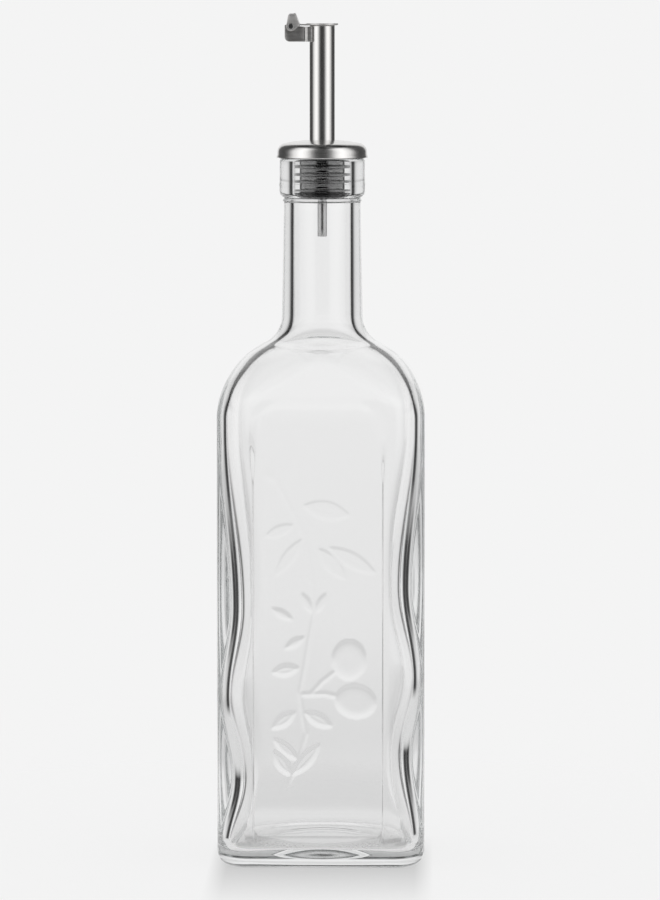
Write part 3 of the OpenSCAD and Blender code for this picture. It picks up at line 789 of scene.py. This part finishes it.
def make_lid():
    """Flap, arm, thumb lever and ears, folded from one sheet."""
    t = 0.5 * MM
    lid_z = SPOUT_HI.z + 0.06 * MM
    ear_y, ear_r, head_r = 3.4 * MM, 1.5 * MM, 0.9 * MM
    x0, x1 = PIN_X + 2.7 * MM, PIN_X + 1.4 * MM
    top = LID_HI.z
    flap_r = LID_HI.y
    dish = 24 * MM
    bm = bmesh.new()
    n_r, n_w = 12, 96
    centre_z = lid_z + math.sqrt(dish**2 - SPOUT_R**2)

    def dish_z(r, inner):
        return centre_z - math.sqrt((dish - inner) ** 2 - r * r)

    rows = []
    for side in (0, t):
        for k in range(n_r + 1):
            r = flap_r * k / n_r
            if k == 0:
                rows.append([bm.verts.new((0, 0, dish_z(0, side)))])
            else:
                rows.append([bm.verts.new((r * math.cos(w), r * math.sin(w), dish_z(r, side)))
                             for w in np.linspace(0, 2 * math.pi, n_w, endpoint=False)])
    for side in (0, 1):
        base = side * (n_r + 1)
        for i in range(n_w):
            j = (i + 1) % n_w
            bm.faces.new((rows[base][0], rows[base + 1][i], rows[base + 1][j]))
            for near, far in zip(rows[base + 1:base + n_r], rows[base + 2:base + n_r + 1]):
                bm.faces.new((near[i], far[i], far[j], near[j]))
    for i in range(n_w):
        j = (i + 1) % n_w
        bm.faces.new((rows[n_r][i], rows[2 * n_r + 1][i], rows[2 * n_r + 1][j], rows[n_r][j]))

    # Arm and lever: a strip swept along its side view, from inside the flap to the lever's top
    path = [(-3.2 * MM, lid_z), (x0 + 0.5 * MM, lid_z), (x0 - 0.3 * MM, lid_z + 0.1 * MM),
            (x0 - 0.6 * MM, lid_z + 0.5 * MM), (x1 - t, top)]
    half = ear_y + t / 2 - 0.05 * MM
    strip = []
    for i, (x, z) in enumerate(path):
        before, after = path[max(i - 1, 0)], path[min(i + 1, len(path) - 1)]
        dx, dz = after[0] - before[0], after[1] - before[1]
        size = math.hypot(dx, dz)
        nx, nz = dz / size, -dx / size
        if i == 0:
            nx, nz = 0, 1
        far_x, far_z = x + nx * t, z + nz * t
        strip.append([(x, -half, z), (x, half, z), (far_x, half, far_z), (far_x, -half, far_z)])
    sweep_strip(bm, strip)

    # Ears: round at the rivet, and up along the lever
    lobe = arc(PIN_X, PIN_Z, ear_r, 170, 320, 14).tolist()
    head = arc(PIN_X, top - head_r, head_r, 95, 175, 8).tolist()
    outline = [*lobe, (x0 + 0.1 * MM, lid_z), (x0 + 0.05 * MM, lid_z + t), (x1 + 0.05 * MM, top), *head]
    middle = (PIN_X + 0.15 * MM, PIN_Z + 0.3 * MM)
    whole = resample(outline, RING_POINTS, *middle)
    hole = resample(circle_points(PIN_X, PIN_Z, PIN_R + 0.05 * MM, 48), RING_POINTS, *middle)
    for s in (-1, 1):
        plate(bm, whole, hole, t, beside(s * ear_y))
    mesh = finish_mesh(bm, "flap_lid", 0.08 * MM)
    shown("flap_lid", mesh, "flap", "lid", LID_STEEL_PAINTED_LIGHT)


make_bottle()
make_cap()
make_tubes()
make_stopper()
make_bracket()
make_pin()
make_lid()


# ---------------------------------------------------------------- studio
PALE = 0.905
SHADE = 0.3
FLOOR_REACH = 0.5
FLOOR_SPREAD = 1.4
FADE_START = 0.12
FADE_END = 0.4
FADE_SOONER = 0.2

# Levels of the floor seen through glass, by the distance from its middle
FLOOR_DIM = [(0.0, 0.72), (0.06, 0.76), (0.1, 0.67), (0.25, 0.64), (0.4, 0.8)]

# Levels of the background for light out of glass: by depth, from -Y at 0 to +Y at 1, and by height, from
# straight down at 0 to straight up at 1. The last one says where it turns to the grey top.
GLASS_DEPTH = [
    (0.0, 0.01), (0.03, 0.02), (0.055, 0.3), (0.08, 0.9), (0.2, 1.0), (0.33, 0.95), (0.42, 0.9),
    (0.68, 0.88), (0.72, 0.6), (0.755, 0.03), (0.825, 0.03), (0.855, 0.25), (0.9, 0.62), (0.945, 0.78),
    (0.989, 0.84), (0.996, 0.89), (1.0, 0.9),
]
GLASS_HEIGHT = [
    (0.0, 0.75), (0.25, 0.8), (0.36, 0.81), (0.41, 0.8), (0.425, 0.85), (0.44, 0.94), (0.47, 0.97),
    (0.52, 0.99), (0.6, 1.0), (0.64, 0.85), (0.67, 0.08), (0.718, 0.1), (0.745, 0.9), (0.81, 1.0),
    (0.87, 1.0), (1.0, 0.7),
]
GLASS_TOP = [(0.0, 0.0), (0.9, 0.0), (0.96, 1.0), (1.0, 1.0)]

# Levels of the background as steel mirrors it: by the turn about Z, from +Y at 0 to -Y at 1, and by height
STEEL_TURN = [
    (0.0, 0.92), (0.045, 0.85), (0.08, 0.1), (0.3, 0.06), (0.42, 0.12), (0.5, 0.45), (0.6, 1.0),
    (0.79, 1.45), (0.87, 1.25), (0.92, 0.8), (0.96, 0.28), (0.985, 0.08), (1.0, 0.05),
]
STEEL_HEIGHT = [(0.0, 0.6), (0.35, 0.9), (0.5, 1.0), (0.86, 1.0), (0.94, 0.12), (1.0, 0.1)]


def grey(level):
    return (level, level, level, 1)


def floor_material():
    """Pale floor that fades out towards its rim. A soft shade is painted on it in front of the bottle, and
    it is dimmer, and fades out sooner, where it is seen through glass."""
    m, nt, bsdf = material("studio_floor")
    bsdf.inputs["Base Color"].default_value = grey(0.9)
    bsdf.inputs["Roughness"].default_value = 0.5
    bsdf.inputs["Specular IOR Level"].default_value = 0.1
    where = add(nt, "ShaderNodeTexCoord")
    length = add(nt, "ShaderNodeVectorMath", operation="LENGTH")
    nt.links.new(where.outputs["Object"], length.inputs[0])
    split = add(nt, "ShaderNodeSeparateXYZ")
    nt.links.new(where.outputs["Object"], split.inputs[0])
    x, y = split.outputs["X"], split.outputs["Y"]

    across = ranged(nt, math_node(nt, "ABSOLUTE", x), 0.03, 0.036, SHADE, 0)
    along = math_node(nt, "MULTIPLY", ranged(nt, y, -0.1, -0.035, 0, 1), ranged(nt, y, 0.0, 0.033, 1, 0))
    lit = math_node(nt, "MULTIPLY_ADD", math_node(nt, "MULTIPLY", across, along), -PALE, PALE)
    dim = ramp(nt, length.outputs["Value"], FLOOR_DIM)
    through = add(nt, "ShaderNodeLightPath").outputs["Is Transmission Ray"]
    even = add(nt, "ShaderNodeEmission")
    nt.links.new(mixed(nt, through, lit, dim), even.inputs["Color"])
    level = add(nt, "ShaderNodeMixShader", Fac=0.1)
    nt.links.new(even.outputs["Emission"], level.inputs[1])
    nt.links.new(bsdf.outputs["BSDF"], level.inputs[2])

    fade = add(nt, "ShaderNodeMapRange", interpolation_type="SMOOTHSTEP")
    fade.inputs["From Min"].default_value = FADE_START
    fade_end = math_node(nt, "MULTIPLY_ADD", through, -FADE_SOONER, FADE_END)
    nt.links.new(fade_end, fade.inputs["From Max"])
    nt.links.new(length.outputs["Value"], fade.inputs["Value"])
    clear = add(nt, "ShaderNodeBsdfTransparent")
    out = add(nt, "ShaderNodeMixShader")
    nt.links.new(fade.outputs["Result"], out.inputs["Fac"])
    nt.links.new(level.outputs["Shader"], out.inputs[1])
    nt.links.new(clear.outputs["BSDF"], out.inputs[2])
    nt.links.new(out.outputs["Shader"], nt.nodes["Material Output"].inputs["Surface"])
    return m


def make_floor():
    """A round floor, just under the bottle, with its rings closer together near the middle."""
    rings, steps = 40, 96
    verts, faces = [(0, 0, 0)], []
    for k in range(1, rings + 1):
        r = FLOOR_REACH * (k / rings) ** FLOOR_SPREAD
        turns = np.linspace(0, 2 * math.pi, steps, endpoint=False)
        verts += [(r * math.cos(w), r * math.sin(w), 0) for w in turns]
    for i in range(steps):
        j = (i + 1) % steps
        faces.append((0, 1 + i, 1 + j))
        for k in range(rings - 1):
            a = 1 + k * steps
            faces.append((a + i, a + steps + i, a + steps + j, a + j))
    mesh = bpy.data.meshes.new("floor")
    mesh.from_pydata(verts, [], faces)
    mesh.materials.append(floor_material())
    floor = bpy.data.objects.new("floor", mesh)
    floor.location.z = -0.0001
    bpy.context.scene.collection.objects.link(floor)


def make_world():
    """A background that is plain and pale to the camera, and a pattern, fixed in the scene, to the rest.
    Light out of glass meets bright parts, a dark ring near the horizon and a dark band above it. Steel
    mirrors bright flanks, a dark slot towards -Y and dark gaps beside the pale part towards +Y."""
    world = bpy.data.worlds.new("studio")
    bpy.context.scene.world = world
    world.use_nodes = True
    nt = world.node_tree
    where = add(nt, "ShaderNodeTexCoord")
    split = add(nt, "ShaderNodeSeparateXYZ")
    nt.links.new(where.outputs["Generated"], split.inputs[0])
    y, z = split.outputs["Y"], split.outputs["Z"]
    height = math_node(nt, "MULTIPLY_ADD", z, 0.5, 0.5)

    # Out of glass: the depth's levels count near the horizon only
    depth = math_node(nt, "MULTIPLY_ADD", y, 0.5, 0.5)
    low, up = ranged(nt, height, 0.33, 0.39, 0, 1), ranged(nt, height, 0.68, 0.73, 1, 0)
    level = mixed(nt, math_node(nt, "MULTIPLY", low, up), grey(0.9), ramp(nt, depth, GLASS_DEPTH))
    through = mixed(nt, 1, level, ramp(nt, height, GLASS_HEIGHT), "MULTIPLY")
    glassy = mixed(nt, ramp(nt, height, GLASS_TOP), through, grey(0.5))

    # Mirrored in steel
    flat = math_node(nt, "SQRT", math_node(nt, "SUBTRACT", 1.0, math_node(nt, "MULTIPLY", z, z)))
    cosine = math_node(nt, "DIVIDE", y, math_node(nt, "MAXIMUM", flat, 0.001))
    turn = math_node(nt, "MULTIPLY_ADD", cosine, -0.5, 0.5)
    mirror = mixed(nt, 1, ramp(nt, turn, STEEL_TURN), ramp(nt, height, STEEL_HEIGHT), "MULTIPLY")

    path = add(nt, "ShaderNodeLightPath")
    plain = mixed(nt, path.outputs["Is Camera Ray"], grey(1), grey(PALE))
    shiny = mixed(nt, path.outputs["Is Glossy Ray"], plain, mirror)
    seen = mixed(nt, path.outputs["Is Transmission Ray"], shiny, glassy)
    nt.links.new(seen, nt.nodes["Background"].inputs["Color"])


CAMERA_FAR = 1.55
CAMERA_Z = 0.269
CAMERA_TURN = 1.2
AIM_X = 0.0025
AIM_Z = 0.1317
LENS = 192.3


def make_camera():
    """Camera at the object's usual viewing place: in front, a little above, and turned slightly aside."""
    data = bpy.data.cameras.new("camera")
    camera = bpy.data.objects.new("camera", data)
    bpy.context.scene.collection.objects.link(camera)
    data.sensor_width = 36
    data.lens = LENS
    turn = math.radians(CAMERA_TURN)
    camera.location = (CAMERA_FAR * math.sin(turn), -CAMERA_FAR * math.cos(turn), CAMERA_Z)
    aim = Vector((AIM_X * math.cos(turn), AIM_X * math.sin(turn), AIM_Z)) - camera.location
    camera.rotation_euler = aim.to_track_quat("-Z", "Y").to_euler()
    data.clip_start, data.clip_end = 0.05, 50
    bpy.context.scene.camera = camera


BOUNCES = 80


def studio_settings():
    """Plain colours, and enough bounces for light that runs inside the glass."""
    scene = bpy.context.scene
    scene.view_settings.view_transform = "Standard"
    scene.cycles.max_bounces = BOUNCES
    scene.cycles.transmission_bounces = BOUNCES
    scene.cycles.glossy_bounces = BOUNCES
    scene.cycles.transparent_max_bounces = 16
    scene.cycles.use_denoising = True
    scene.cycles.caustics_refractive = True
    scene.cycles.caustics_reflective = True
    scene.cycles.sample_clamp_indirect = 8


make_floor()
make_world()
make_camera()
studio_settings()
